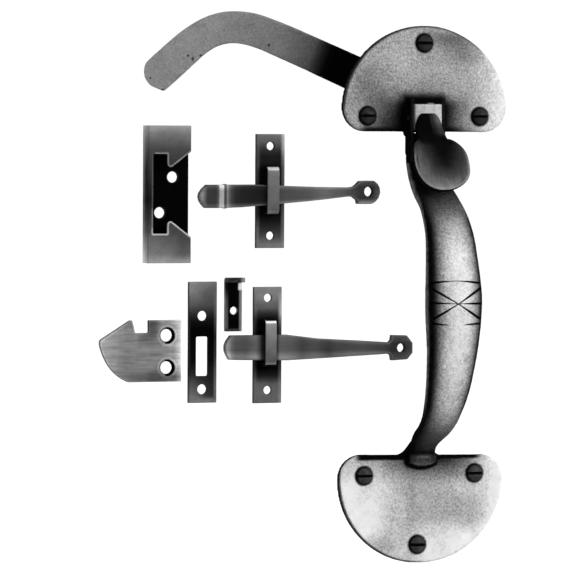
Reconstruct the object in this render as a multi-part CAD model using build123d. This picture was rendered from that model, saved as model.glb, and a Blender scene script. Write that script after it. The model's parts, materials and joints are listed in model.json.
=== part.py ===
from build123d import *
import math
import os

# Thumb latch kit: a one-piece cast door handle with its thumb press and tail,
# and two sets of latch fittings (guide plates with staples, latch bars, a rim
# strike, a catch, a slotted strike plate and a stop clip).
# Millimetres. +Z is up, the front faces -Y, and +X is to the right seen from
# the front. The plates' back faces lie on y = 0. Origin: at the height of the
# thumb press pivot, on the plates' back plane, on the handle's centre line.

os.makedirs("parts", exist_ok=True)

# ------------------------------------------------------- shared dimensions
PLATE_T = 4.5             # handle plates
RUN_CLEAR = 0.05          # radial play of pins and screw collars

HOUSE_HALF_W = 13.2       # housing round the thumb slot
PIVOT_Y = -7.5            # thumb press pivot, along X
PIVOT_R = 2.0

HINGE_Y, HINGE_Z = 14.0, 12.0   # tail hinge, upright, centred on x = 0
HINGE_PIN_R = 2.5
BARREL_H = 15.0
EAR_T = 3.4
EAR_GAP = 0.2             # between the tail's barrel and each ear
UPPER_EAR_Z = HINGE_Z + BARREL_H / 2 + EAR_GAP    # underside of the upper ear
LOWER_EAR_Z = HINGE_Z - BARREL_H / 2 - EAR_GAP    # top of the lower ear
EARS_TOP = UPPER_EAR_Z + EAR_T
EARS_BOTTOM = LOWER_EAR_Z - EAR_T

# screw places on the handle plates: x, z
UPPER_SCREWS = [(-41.2, 1.2), (41.2, 1.2), (0.0, 50.0)]
LOWER_SCREWS = [(-42.2, -238.5), (39.0, -238.5), (-3.0, -285.5)]
SCREW_HOLE_R = 2.9

BAR_FRONT, BAR_BACK = -7.8, -3.1   # latch bars


# ----------------------------------------------------------------- helpers
def box(left, right, front, back, bottom, top):
    centre = Pos((left + right) / 2, (front + back) / 2, (bottom + top) / 2)
    return centre * Box(right - left, back - front, top - bottom)


def cyl_x(y, z, radius, left, right):
    return Pos((left + right) / 2, y, z) * Rot(0, 90, 0) * Cylinder(radius, right - left)


def cyl_y(x, z, radius, front, back):
    return Pos(x, (front + back) / 2, z) * Rot(90, 0, 0) * Cylinder(radius, back - front)


def cyl_z(x, y, radius, bottom, top):
    return Pos(x, y, (bottom + top) / 2) * Cylinder(radius, top - bottom)


def drill(shape, x, z, radius, front=-20, back=5):
    """Hole along Y; the default reach overruns every piece."""
    return shape - cyl_y(x, z, radius, front, back)


def front_plane(y=0.0):
    """Seen from the front: local x = +X, local y = +Z, normal = -Y."""
    return Plane(origin=(0, y, 0), x_dir=(1, 0, 0), z_dir=(0, -1, 0))


def level_plane(z=0.0):
    """Seen from above: local x = +X, local y = +Y, normal = +Z."""
    return Plane(origin=(0, 0, z), x_dir=(1, 0, 0), z_dir=(0, 0, 1))


def outline_face(points):
    return make_face(Polyline(*points, close=True))


def prism(points, back, front):
    """Closed outline in X and Z, from back forward to front."""
    return extrude(front_plane(back) * outline_face(points), back - front)


def near(value, target, tolerance=0.01):
    return abs(value - target) < tolerance


def front_edges(shape):
    return shape.faces().sort_by(Axis.Y)[0].edges()


def solid_of(shape):
    parts = shape.solids()
    return parts[0] if len(parts) == 1 else Compound(children=list(parts))


def save(name, shape):
    export_step(shape, f"parts/{name}.step")


# ---------------------------------------------------------- handle casting
# half-moon plates: ellipse centre x and z, half width, half height
UPPER_ARC = (1.3, 3.6, 60.0, 58.0)
LOWER_ARC = (0.0, -240.6, 60.3, 57.4)
# height of each plate's straight edge at the left and right of its arc
UPPER_FLAT = (-9.2, -9.2)
LOWER_FLAT = (-224.2, -226.6)
PLATE_CORNER_R = 16.5
PLATE_EDGE_R = 1.6        # rounding of the front edge
KEEP_HALF_W, KEEP_H = 150, 200   # area kept beyond the straight edge, oversize

HOUSE_BOTTOM, HOUSE_TOP = -24, 13.0
HOUSE_FRONT = -11.5
HOUSE_EDGE_R = 1.4
# bevel on the housing's rear side corners
BEVEL_FRONT = -3.2
BEVEL_IN = 2.9            # how far it reaches in at the back plane
BEVEL_BOTTOM, BEVEL_H = -30, 18.2

SLOT_HALF_W = 10.5
SLOT_BOTTOM, SLOT_TOP = -10.1, 9.9
SLOT_CORNER_R = 0.5

# grip stations, top to bottom: centre line y, z, width, thickness
GRIP = [
    (-6.6, -17.0, 25.6, 10.2),
    (-6.9, -27.0, 25.4, 10.2),
    (-9.6, -37.5, 25.0, 10.6),
    (-18.2, -48.5, 25.6, 10.6),
    (-30.6, -58.0, 27.6, 10.0),
    (-40.2, -68.5, 30.8, 9.4),
    (-46.8, -82.5, 33.4, 9.8),
    (-50.4, -100.0, 35.8, 11.4),
    (-52.5, -118.0, 37.4, 12.6),
    (-52.4, -134.0, 36.6, 12.5),
    (-50.6, -153.0, 33.8, 11.2),
    (-45.4, -175.0, 30.3, 10.0),
    (-37.8, -191.5, 26.4, 9.5),
    (-28.6, -203.0, 22.9, 9.4),
    (-20.4, -208.8, 20.8, 9.2),
    (-12.0, -214.0, 19.2, 8.6),
    (-6.6, -219.4, 17.8, 7.6),
    (-4.4, -226.0, 18.6, 6.6),
    (-4.2, -231.0, 20.0, 6.4),
]
GRIP_FREE = range(3, 15)  # stations clear of the housing and of the foot
GRIP_SHIFT = 0.6          # the free stations lean a little to the right
GRIP_EXTRA = 0.5          # and are this much wider
GRIP_CORNER_R = 2.6

FOOT_LEFT, FOOT_RIGHT = -11.9, 10.6
FOOT_TOP = -220.0
FOOT_LEFT_Z, FOOT_RIGHT_Z = -231.2, -230.9   # ends of the arc under the foot
FOOT_ARC_MID = (-0.8, -234.3)
FOOT_BACK, FOOT_FRONT = -0.5, -8.1
FOOT_CORNER_R = 2.6
FOOT_EDGE_R = 2.8
FOOT_KEEP = (-30, 30, -9, 0, -240, -224.9)   # box kept: only the lower end

# flared root between grip and plate: height, left side, right side
ROOT = [
    (-215.6, -6.6, 7.0),
    (-219.2, -9.4, 8.0),
    (-222.4, -12.2, 8.7),
    (-224.4, -15.2, 10.6),
    (-225.6, -19.6, 13.2),
    (-228.0, -24.0, 15.0),
]
ROOT_Y, ROOT_T = -2.9, 4.8
ROOT_CORNER_R = 1.5


def half_moon(arc, flat, side):
    """An ellipse cut straight on one side, kept above (side 1) or below (-1) the cut."""
    centre_x, centre_z, half_w, half_h = arc
    left_z, right_z = flat
    left, right = centre_x - KEEP_HALF_W, centre_x + KEEP_HALF_W
    far = side * KEEP_H
    keep = outline_face([
        (left, left_z), (centre_x - half_w, left_z), (centre_x + half_w, right_z),
        (right, right_z), (right, right_z + far), (left, left_z + far),
    ])
    disc = Pos(centre_x, centre_z) * Ellipse(half_w, half_h)
    plate = extrude(front_plane(0) * (disc & keep), PLATE_T)
    corners = [e for e in plate.edges().filter_by(Axis.Y) if abs(e.center().X - centre_x) > 20]
    plate = fillet(corners, PLATE_CORNER_R)
    return fillet(front_edges(plate), PLATE_EDGE_R)


def slot_housing():
    housing = box(-HOUSE_HALF_W, HOUSE_HALF_W, HOUSE_FRONT, 0, HOUSE_BOTTOM, HOUSE_TOP)
    # every edge of the top and sides, save those at the back and the bottom
    housing = fillet(
        [e for e in housing.edges()
         if (near(e.center().Z, HOUSE_TOP, 0.1) or near(abs(e.center().X), HOUSE_HALF_W, 0.1))
         and e.center().Y < -1 and e.center().Z > HOUSE_BOTTOM + 0.1],
        HOUSE_EDGE_R,
    )
    # below the plate the rear side corners are bevelled
    for side in (-1, 1):
        bevel = outline_face([
            (side * HOUSE_HALF_W, BEVEL_FRONT), (side * (HOUSE_HALF_W + 3), BEVEL_FRONT),
            (side * (HOUSE_HALF_W + 3), 3), (side * (HOUSE_HALF_W - BEVEL_IN), 3),
            (side * (HOUSE_HALF_W - BEVEL_IN), 0),
        ])
        housing = housing - extrude(level_plane(BEVEL_BOTTOM) * bevel, BEVEL_H)
    return housing


def grip_section(i):
    """Rounded rectangle square to the centre line at station i."""
    before = GRIP[max(i - 1, 0)]
    after = GRIP[min(i + 1, len(GRIP) - 1)]
    step_y, step_z = after[0] - before[0], after[1] - before[1]
    step = math.hypot(step_y, step_z)
    y, z, width, thickness = GRIP[i]
    shift, extra = (GRIP_SHIFT, GRIP_EXTRA) if i in GRIP_FREE else (0, 0)
    plane = Plane(origin=(shift, y, z), x_dir=(1, 0, 0), z_dir=(0, step_y / step, step_z / step))
    return plane * RectangleRounded(width + extra, thickness, GRIP_CORNER_R)


def grip_foot():
    """Rounded foot where the grip lands on the lower plate."""
    left_end, right_end = (FOOT_LEFT, FOOT_LEFT_Z), (FOOT_RIGHT, FOOT_RIGHT_Z)
    outline = make_face([
        Line((FOOT_LEFT, FOOT_TOP), (FOOT_RIGHT, FOOT_TOP)),
        Line((FOOT_RIGHT, FOOT_TOP), right_end),
        ThreePointArc(right_end, FOOT_ARC_MID, left_end),
        Line(left_end, (FOOT_LEFT, FOOT_TOP)),
    ])
    foot = extrude(front_plane(FOOT_BACK) * outline, FOOT_BACK - FOOT_FRONT)
    foot = fillet([e for e in foot.edges().filter_by(Axis.Y) if e.center().Z < -225],
                  FOOT_CORNER_R)
    foot = fillet([e for e in foot.edges() if near(e.center().Y, FOOT_FRONT, 0.1)], FOOT_EDGE_R)
    return foot & box(*FOOT_KEEP)


def root_section(z, left, right):
    plane = Plane(origin=((right + left) / 2, ROOT_Y, z), x_dir=(1, 0, 0), z_dir=(0, 0, -1))
    return plane * RectangleRounded(right - left, ROOT_T, ROOT_CORNER_R)


def handle_casting():
    casting = half_moon(UPPER_ARC, UPPER_FLAT, 1) + slot_housing()
    casting = casting + loft([grip_section(i) for i in range(len(GRIP))])
    casting = casting + half_moon(LOWER_ARC, LOWER_FLAT, -1)
    casting = casting + grip_foot()
    casting = casting + loft([root_section(*row) for row in ROOT])
    slot = box(-SLOT_HALF_W, SLOT_HALF_W, -40, 5, SLOT_BOTTOM, SLOT_TOP)
    casting = casting - fillet(slot.edges().filter_by(Axis.Y), SLOT_CORNER_R)
    casting = casting - cyl_x(PIVOT_Y, 0, PIVOT_R, -30, 30)
    for x, z in UPPER_SCREWS + LOWER_SCREWS:
        casting = drill(casting, x, z, SCREW_HOLE_R)
    return solid_of(casting)


# ------------------------------------------------------------- thumb press
HUB_R = 9.75
HUB_HALF_W = 10.3
HUB_EDGE_R = 0.5
HUB_FLAT_Y = -11.0        # the hub's front is cut flat here

EAR_R = 6.6
WEB_FRONT, WEB_BACK = 3.6, 8.0   # web joining the two ears
# side outline of the tongue through the plate, rising to the ears: y, z
TONGUE = [(-8.0, 7.0), (3.0, 9.2), (4.0, 22.6), (7.4, 22.6), (7.4, 0.8), (1.0, -3.6), (-8.0, -6.0)]

# neck, level sections: height, half width, y of the back, flank and ridge
NECK = [
    (3.0, 4.4, -10.2, -12.2, -13.4),
    (0.4, 7.4, -9.6, -12.6, -15.0),
    (-4.0, 9.1, -9.6, -13.3, -17.5),
    (-8.0, 9.7, -12.0, -14.9, -19.8),
    (-12.0, 10.2, -13.5, -17.9, -22.1),
    (-16.0, 11.6, -16.8, -21.4, -24.6),
    (-21.0, 13.0, -20.8, -24.6, -26.8),
]

# pad outline in its own plane: across, and along from its centre towards the tip
PAD = [
    (0.0, -14.4), (4.6, -15.6), (8.2, -17.4), (12.0, -16.3), (15.1, -14.1), (17.6, -11.2),
    (19.6, -6.7), (20.2, -1.6), (19.9, 4.2), (18.6, 9.4), (16.4, 13.2), (13.4, 15.9),
    (9.4, 18.2), (4.4, 20.0), (-0.4, 20.7), (-5.0, 20.5), (-10.2, 18.6), (-14.4, 15.3),
    (-17.2, 10.7), (-18.6, 5.4), (-18.8, -0.8), (-18.1, -7.2), (-16.8, -12.2), (-13.8, -16.2),
    (-8.6, -17.6), (-4.6, -15.6),
]
PAD_RIGHT_STRETCH = 1.045 # widens the right half of the outline
PAD_Y, PAD_Z = -32.0, -29.0
PAD_TILT = math.radians(27.0)    # how far the pad leans forward of straight down
PAD_T = 3.8
PAD_EDGE_R = 0.9
DISH_R, DISH_DEPTH = 88.0, 2.0


def ear(bottom, top):
    return (cyl_z(0, HINGE_Y, EAR_R, bottom, top)
            + box(-EAR_R, EAR_R, WEB_FRONT, HINGE_Y, bottom, top))


def neck_section(z, half_w, back, flank, ridge):
    return level_plane(z) * outline_face(
        [(-half_w, back), (-half_w, flank), (0, ridge), (half_w, flank), (half_w, back)])


def thumb_press():
    hub = cyl_x(PIVOT_Y, 0, HUB_R, -HUB_HALF_W, HUB_HALF_W)
    hub = fillet(hub.edges().filter_by(GeomType.CIRCLE), HUB_EDGE_R)
    hub = hub - box(-20, 20, -30, HUB_FLAT_Y, -20, 20)

    side_plane = Plane(origin=(-EAR_R, 0, 0), x_dir=(0, 1, 0), z_dir=(1, 0, 0))
    tongue = extrude(side_plane * outline_face(TONGUE), 2 * EAR_R)
    web = box(-EAR_R, EAR_R, WEB_FRONT, WEB_BACK, EARS_BOTTOM, EARS_TOP)

    neck = loft([neck_section(*row) for row in NECK])

    normal = (0, -math.cos(PAD_TILT), math.sin(PAD_TILT))
    pad_plane = Plane(origin=(0, PAD_Y, PAD_Z), x_dir=(1, 0, 0), z_dir=normal)
    points = [(x * (PAD_RIGHT_STRETCH if x > 0 else 1), -along) for x, along in PAD]
    pad = extrude(pad_plane * make_face(Spline(*points, periodic=True)), -PAD_T)
    pad = fillet(pad.edges(), PAD_EDGE_R)
    dish_centre = pad_plane.origin + Vector(*normal) * (DISH_R - DISH_DEPTH)
    dish = Pos(*dish_centre) * Sphere(DISH_R)

    press = hub + tongue + web + ear(UPPER_EAR_Z, EARS_TOP) + ear(EARS_BOTTOM, LOWER_EAR_Z)
    press = press + (neck - dish)
    press = press + (pad - dish)
    press = press - cyl_x(PIVOT_Y, 0, PIVOT_R + RUN_CLEAR, -20, 20)
    press = press - cyl_z(0, HINGE_Y, HINGE_PIN_R, -20, 40)
    return solid_of(press)


def thumb_pivot_pin():
    return solid_of(cyl_x(PIVOT_Y, 0, PIVOT_R, -HOUSE_HALF_W, HOUSE_HALF_W))


# ---------------------------------------------------------------- tail bar
TAIL_T = 5.0
TAIL_SWING = math.radians(48.0)  # how far the tail stands to the left of square
TAIL_CHAMFER = 0.5
TAIL_NECK_L = 9.6
BARREL_R = 5.2
# outline in the bar's own upright plane: distance from the hinge, z
TAIL_TOP = [
    (9.0, 28.9), (38.0, 41.3), (63.1, 51.8), (85.0, 60.9), (100.4, 66.8), (113.6, 70.8),
    (125.8, 72.2), (138.0, 71.1), (148.0, 68.1), (156.8, 63.8), (166.9, 57.3), (175.9, 50.1),
    (184.8, 42.6), (190.4, 37.6),
]
TAIL_TIP = [(191.6, 27.4), (186.0, 20.6)]   # middle and end of the arc round the tip
TAIL_BOTTOM = [
    (178.4, 17.8), (167.8, 26.6), (157.8, 35.4), (148.9, 42.9), (141.2, 47.6), (132.0, 50.1),
    (123.5, 50.0), (114.7, 48.1), (106.9, 45.5), (95.9, 40.8), (76.1, 32.4), (62.9, 26.5),
    (48.7, 20.1), (9.0, 2.6),
]


def tail_bar():
    # local x = along the bar, local y = +Z, set so that TAIL_T is centred on the hinge
    along = Vector(-math.sin(TAIL_SWING), math.cos(TAIL_SWING), 0)
    normal = along.cross(Vector(0, 0, 1))
    plane = Plane(origin=Vector(0, HINGE_Y, 0) + normal * (-TAIL_T / 2),
                  x_dir=along, z_dir=normal)
    with BuildSketch() as outline:
        with BuildLine():
            Spline(*TAIL_TOP)
            ThreePointArc(TAIL_TOP[-1], *TAIL_TIP)
            Line(TAIL_TIP[-1], TAIL_BOTTOM[0])
            Spline(*TAIL_BOTTOM)
            Line(TAIL_BOTTOM[-1], TAIL_TOP[0])
        make_face()
    tail = extrude(plane * outline.sketch, TAIL_T)
    # guards the chamfer along the curved edges: if it fails, they stay sharp
    try:
        tail = chamfer([e for e in tail.edges() if e.length > 100], TAIL_CHAMFER)
    except Exception:
        pass
    bottom, top = HINGE_Z - BARREL_H / 2, HINGE_Z + BARREL_H / 2
    neck = extrude(
        plane * outline_face([(0, bottom), (TAIL_NECK_L, bottom), (TAIL_NECK_L, top), (0, top)]),
        TAIL_T,
    )
    tail = tail + neck + cyl_z(0, HINGE_Y, BARREL_R, bottom, top)
    return solid_of(tail - cyl_z(0, HINGE_Y, HINGE_PIN_R + RUN_CLEAR, -20, 60))


PIN_HEAD_R = 3.8
PIN_HEAD_H = 1.8


def tail_hinge_pin():
    """Pin with a flat-topped domed head at each end."""
    pin = cyl_z(0, HINGE_Y, HINGE_PIN_R, EARS_BOTTOM, EARS_TOP)
    for end, bottom, top in (
        (EARS_TOP, EARS_TOP, EARS_TOP + PIN_HEAD_H),
        (EARS_BOTTOM, EARS_BOTTOM - PIN_HEAD_H, EARS_BOTTOM),
    ):
        ball = Pos(0, HINGE_Y, end) * Sphere(PIN_HEAD_R)
        pin = pin + (ball & box(-10, 10, 0, 30, bottom, top))
    return solid_of(pin)


# ------------------------------------------------------------- wood screws
HEAD_R, HEAD_H = 6.4, 3.9
HEAD_STEPS = 10           # straight steps across the head's dome
COLLAR_R = SCREW_HOLE_R - RUN_CLEAR
SHANK_R = 2.4
SHANK_L = 9.0
THREAD_R = SHANK_R - 0.05
THREAD_ROOT_R = 1.7
THREAD_PITCH = 2.0
SCREW_TIP = 26.0
TAPER_L = 5               # the thread stops at least this far short of the tip
TAPER_R = 1.6
DRIVER_HALF_W, DRIVER_DEPTH = 0.8, 1.9


def wood_screw(x, z):
    """Slotted round-head wood screw, its axis along Y, tip at the back."""
    # profile from front to back: radius, y
    head_front = -PLATE_T - HEAD_H
    profile = [(0.0, head_front)]
    dome_r = (HEAD_R ** 2 + HEAD_H ** 2) / (2 * HEAD_H)
    for i in range(1, HEAD_STEPS + 1):
        radius = HEAD_R * i / HEAD_STEPS
        rise = math.sqrt(dome_r * dome_r - radius * radius) - (dome_r - HEAD_H)
        profile.append((radius, -PLATE_T - rise))
    # a collar stands in the plate's hole, then the plain shank, then the thread
    profile += [(COLLAR_R, -PLATE_T), (COLLAR_R, 0.0), (SHANK_R, 0.0), (SHANK_R, SHANK_L)]
    y = SHANK_L
    while y + THREAD_PITCH < SCREW_TIP - TAPER_L:
        profile += [(THREAD_ROOT_R, y + 0.5), (THREAD_ROOT_R, y + 1.15), (THREAD_R, y + 1.85)]
        y += THREAD_PITCH
    profile += [(TAPER_R, y + 0.6), (TAPER_R, y + 1.2), (0.0, SCREW_TIP)]
    body = revolve(level_plane() * outline_face(profile), Axis.Y)
    body = body - box(-8, 8, head_front - 1, head_front + DRIVER_DEPTH,
                      -DRIVER_HALF_W, DRIVER_HALF_W)
    return Pos(x, 0, z) * body


def screw_set(places):
    return Compound(children=[solid_of(wood_screw(x, z)) for x, z in places])


# -------------------------------------------------------------- rim strike
RIM_LEFT, RIM_RIGHT = -199.6, -169.0
RIM_BACK_RIGHT = -167.8   # right edge of the back leaf
RIM_BOTTOM, RIM_TOP = -95.7, -5.9
RIM_D, RIM_T = 9.5, 1.8
RIM_FRONT_R, RIM_BACK_R = 1.6, 1.2   # its left corners
# mouth cut in the front leaf, open to the right: x, z
RIM_MOUTH = [
    (-195.6, -24.5), (-185.7, -24.5), (-185.7, -30.6), (-185.2, -32.2), (-183.9, -33.2),
    (-182.4, -32.9), (-169.0, -23.0), (-160.0, -23.0), (-160.0, -78.4), (-169.0, -78.4),
    (-182.4, -68.5), (-183.9, -68.2), (-185.2, -69.2), (-185.7, -70.8), (-185.7, -76.4),
    (-195.6, -76.4),
]
RIM_HOLES = [(-179.2, -39.6), (-188.1, -62.9)]
RIM_HOLE_R = 3.6
DIMPLE_X, DIMPLE_Z = -178.4, -46.2   # blind hole in the back leaf
DIMPLE_R, DIMPLE_DEPTH = 1.1, 0.8


def rim_strike():
    rim = (
        box(RIM_LEFT, RIM_RIGHT, -RIM_D, -RIM_D + RIM_T, RIM_BOTTOM, RIM_TOP)
        + box(RIM_LEFT, RIM_LEFT + RIM_T, -RIM_D, 0, RIM_BOTTOM, RIM_TOP)
        + box(RIM_LEFT, RIM_BACK_RIGHT, -RIM_T, 0, RIM_BOTTOM, RIM_TOP)
    )
    for corner_y, radius in ((-RIM_D, RIM_FRONT_R), (0, RIM_BACK_R)):
        rim = fillet([e for e in rim.edges().filter_by(Axis.Z)
                      if near(e.center().X, RIM_LEFT) and near(e.center().Y, corner_y)], radius)
    rim = rim - prism(RIM_MOUTH, -RIM_D + RIM_T + 1, -RIM_D - 1)
    for x, z in RIM_HOLES:
        rim = drill(rim, x, z, RIM_HOLE_R, -RIM_T - 1, 1)
    rim = drill(rim, DIMPLE_X, DIMPLE_Z, DIMPLE_R, -RIM_T - 1, -RIM_T + DIMPLE_DEPTH)
    return solid_of(rim)


# ------------------------------------------------ guide plates and staples
GUIDE_T = 2.5
GUIDE_CHAMFER = 0.5
GUIDE_HOLE_R = 2.75
STAPLE_T = 2.4
STAPLE_FRONT = -10.6
STAPLE_BEND = 3.8         # outside radius of the bends
STAPLE_INNER_BEND = STAPLE_BEND - 2.2
TENON_HALF_W = 2.4
GUIDES = {
    "a": dict(centre=-109.9, bottom=-86.4, top=-11.2, width=20.4, hole_heights=[-19.1, -78.2],
              staple_x=-111.0, staple_bottom=-64.3, staple_top=-32.2, staple_w=8.3),
    "b": dict(centre=-111.3, bottom=-188.8, top=-112.0, width=20.2, hole_heights=[-119.2, -180.2],
              staple_x=-112.2, staple_bottom=-164.4, staple_top=-132.8, staple_w=7.8),
}


def bend(block, y, radius):
    """Rounds the two edges along X at depth y."""
    return fillet([e for e in block.edges().filter_by(Axis.X) if near(e.center().Y, y)], radius)


def guide(centre, bottom, top, width, hole_heights, staple_x, staple_bottom, staple_top, staple_w):
    """Returns the plate and its staple."""
    plate = box(centre - width / 2, centre + width / 2, -GUIDE_T, 0, bottom, top)
    plate = chamfer(front_edges(plate), GUIDE_CHAMFER)
    for z in hole_heights:
        plate = drill(plate, centre, z, GUIDE_HOLE_R)
    # flat strap bent back at both ends, with narrower tenons through the plate
    outer = box(staple_x - staple_w / 2, staple_x + staple_w / 2, STAPLE_FRONT, -GUIDE_T,
                staple_bottom, staple_top)
    inner = box(staple_x - staple_w, staple_x + staple_w, STAPLE_FRONT + STAPLE_T, 5,
                staple_bottom + STAPLE_T, staple_top - STAPLE_T)
    staple = (bend(outer, STAPLE_FRONT, STAPLE_BEND)
              - bend(inner, STAPLE_FRONT + STAPLE_T, STAPLE_INNER_BEND))
    for low in (staple_bottom, staple_top - STAPLE_T):
        tenon = box(staple_x - TENON_HALF_W, staple_x + TENON_HALF_W, -GUIDE_T, 0,
                    low, low + STAPLE_T)
        plate = plate - tenon
        staple = staple + tenon
    return solid_of(plate), solid_of(staple)


# -------------------------------------------------------------- latch bars
# bar A, right of its jog: x, z
BAR_A = [
    (-143.6, -44.5), (-123.4, -44.4), (-105.2, -45.1), (-77.7, -46.0), (-55.6, -46.3),
    (-52.1, -45.9), (-49.9, -44.4), (-47.7, -42.1), (-42.2, -41.8), (-37.2, -41.9),
    (-34.6, -44.0), (-33.1, -47.0), (-32.9, -50.0), (-34.0, -53.3), (-36.3, -55.9),
    (-39.0, -57.3), (-43.6, -57.4), (-49.1, -57.3), (-49.5, -54.7), (-52.6, -52.5),
    (-56.0, -52.4), (-77.6, -54.8), (-105.1, -57.2), (-132.4, -59.4), (-143.6, -59.8),
]
NOSE_A = [
    (-164.4, -52.4), (-163.7, -55.2), (-162.0, -57.6), (-159.7, -59.8), (-147.0, -59.8),
    (-147.0, -44.5), (-158.6, -44.5), (-161.8, -47.1), (-163.9, -50.0),
]
NOSE_CHAMFER = 1.1
JOG = 2.8                 # forward step of bar A's nose
NOSE_FRONT, NOSE_BACK = BAR_FRONT - JOG, BAR_BACK - JOG
# the jog seen from above: x, y
JOG_PLAN = [
    (-147.2, NOSE_FRONT), (-147.0, NOSE_FRONT), (-143.4, BAR_FRONT), (-143.4, BAR_BACK),
    (-147.0, NOSE_BACK), (-147.2, NOSE_BACK),
]
JOG_BOTTOM, JOG_H = -60.2, 16.2
# the jog seen from the front, slightly swollen at its top and bottom: x, z
JOG_FACE = [
    (-148, -44.5), (-145.6, -44.5), (-144.4, -44.0), (-142, -44.2), (-142, -60.1),
    (-144.4, -60.2), (-145.6, -59.8), (-148, -59.8),
]
EYE_A = (-41.2, -49.1)
EYE_A_R = 3.3

# bar B: x, z
BAR_B = [
    (-143.4, -147.2), (-140.2, -143.5), (-99.0, -143.5), (-76.9, -146.3), (-43.7, -148.3),
    (-25.6, -149.5), (-24.0, -148.2), (-23.6, -144.7), (-12.6, -145.1), (-8.4, -150.0),
    (-8.4, -156.8), (-12.2, -161.1), (-23.6, -161.7), (-24.0, -158.4), (-25.6, -157.2),
    (-65.9, -159.1), (-98.9, -160.5), (-134.0, -159.8), (-141.4, -159.5), (-143.3, -156.6),
    (-144.5, -153.7), (-144.6, -150.1),
]
BAR_B_CHAMFER = 0.5
EYE_B = (-16.8, -153.3)
EYE_B_R = 3.0


def latch_bar_a():
    nose = prism(NOSE_A, NOSE_BACK, NOSE_FRONT)
    nose = chamfer([e for e in front_edges(nose) if e.center().X < -152], NOSE_CHAMFER)
    jog = extrude(level_plane(JOG_BOTTOM) * outline_face(JOG_PLAN), JOG_H)
    jog = jog & prism(JOG_FACE, 5, -20)
    bar = prism(BAR_A, BAR_BACK, BAR_FRONT) + nose + jog
    return solid_of(drill(bar, *EYE_A, EYE_A_R))


def latch_bar_b():
    bar = prism(BAR_B, BAR_BACK, BAR_FRONT)
    bar = chamfer(front_edges(bar), BAR_B_CHAMFER)
    return solid_of(drill(bar, *EYE_B, EYE_B_R))


# ------------------------------------------------------------- catch plate
CATCH_T = 3.2
# straight edges, from the left tip over the top to the lower left: x, z
CATCH_EDGES = [
    (-229.8, -146.6), (-228.8, -145.2), (-208.6, -133.0), (-207.4, -133.0), (-205.2, -141.3),
    (-195.8, -141.3), (-195.8, -133.1), (-172.8, -133.1), (-172.8, -173.4), (-209.6, -173.4),
]
# curve from there back up to the tip: x, z
CATCH_CURVE = [(-209.6, -173.4), (-216.6, -169.6), (-221.8, -164.8), (-226.6, -157.4),
               (-229.8, -148.6)]
CATCH_HOLES = [(-182.9, -143.1), (-182.9, -164.2)]
CATCH_HOLE_R = 4.1
SINK_R, SINK_DEPTH = 5.5, 1.4


def catch_plate():
    with BuildSketch() as outline:
        with BuildLine():
            Polyline(*CATCH_EDGES)
            Spline(*CATCH_CURVE)
            Line(CATCH_CURVE[-1], CATCH_EDGES[0])
        make_face()
    catch = extrude(front_plane(0) * outline.sketch, CATCH_T)
    for x, z in CATCH_HOLES:
        catch = drill(catch, x, z, CATCH_HOLE_R)
        sink = Cone(SINK_R - SINK_DEPTH, SINK_R, SINK_DEPTH,
                    align=(Align.CENTER, Align.CENTER, Align.MAX))
        catch = catch - Pos(x, -CATCH_T, z) * Rot(90, 0, 0) * sink
    return solid_of(catch)


# ---------------------------------------------------- slotted strike plate
STRIKE_T = 2.4
STRIKE_LEFT, STRIKE_RIGHT = -167.4, -147.5
STRIKE_BOTTOM, STRIKE_TOP = -187.8, -108.2
STRIKE_CHAMFER = 0.4
STRIKE_HOLE_X = -157.8
STRIKE_HOLE_HEIGHTS = [-130.6, -178.8]
STRIKE_HOLE_R = 3.3
# slot, measured from the line of the holes
STRIKE_SLOT_LEFT, STRIKE_SLOT_RIGHT = STRIKE_HOLE_X - 4.4, STRIKE_HOLE_X + 4.0
STRIKE_SLOT_BOTTOM, STRIKE_SLOT_TOP = -170.1, -144.2
STRIKE_SLOT_R = 1.0


def slotted_strike_plate():
    plate = box(STRIKE_LEFT, STRIKE_RIGHT, -STRIKE_T, 0, STRIKE_BOTTOM, STRIKE_TOP)
    plate = chamfer(front_edges(plate), STRIKE_CHAMFER)
    slot = box(STRIKE_SLOT_LEFT, STRIKE_SLOT_RIGHT, -STRIKE_T - 1, 1,
               STRIKE_SLOT_BOTTOM, STRIKE_SLOT_TOP)
    plate = plate - fillet(slot.edges().filter_by(Axis.Y), STRIKE_SLOT_R)
    for z in STRIKE_HOLE_HEIGHTS:
        plate = drill(plate, STRIKE_HOLE_X, z, STRIKE_HOLE_R)
    return solid_of(plate)


# --------------------------------------------------------------- stop clip
CLIP_LEFT, CLIP_RIGHT = -141.7, -130.0
CLIP_BOTTOM, CLIP_TOP = -141.1, -105.6
CLIP_T = 2.9
LIP_FRONT, LIP_BOTTOM = -8.4, -108.7   # lip standing forward along the top
CLIP_BEND = 2.4
CLIP_HOLE = (-135.7, -127.4)
CLIP_HOLE_R = 2.65


def stop_clip():
    clip = (box(CLIP_LEFT, CLIP_RIGHT, -CLIP_T, 0, CLIP_BOTTOM, CLIP_TOP)
            + box(CLIP_LEFT, CLIP_RIGHT, LIP_FRONT, 0, LIP_BOTTOM, CLIP_TOP))
    clip = fillet([e for e in clip.edges().filter_by(Axis.X)
                   if near(e.center().Z, CLIP_TOP) and e.center().Y > -0.1], CLIP_BEND)
    return solid_of(drill(clip, *CLIP_HOLE, CLIP_HOLE_R))


# ------------------------------------------------------------------- files
for piece in (handle_casting, thumb_press, thumb_pivot_pin, tail_bar, tail_hinge_pin, rim_strike,
              latch_bar_a, latch_bar_b, catch_plate, slotted_strike_plate, stop_clip):
    save(piece.__name__, piece())
save("upper_plate_screws", screw_set(UPPER_SCREWS))
save("lower_plate_screws", screw_set(LOWER_SCREWS))
for name, sizes in GUIDES.items():
    guide_plate, guide_staple = guide(**sizes)
    save("guide_plate_" + name, guide_plate)
    save("guide_staple_" + name, guide_staple)
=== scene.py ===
import json
import math

import bmesh
import bpy
import numpy as np
from mathutils import Matrix, Vector


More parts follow.
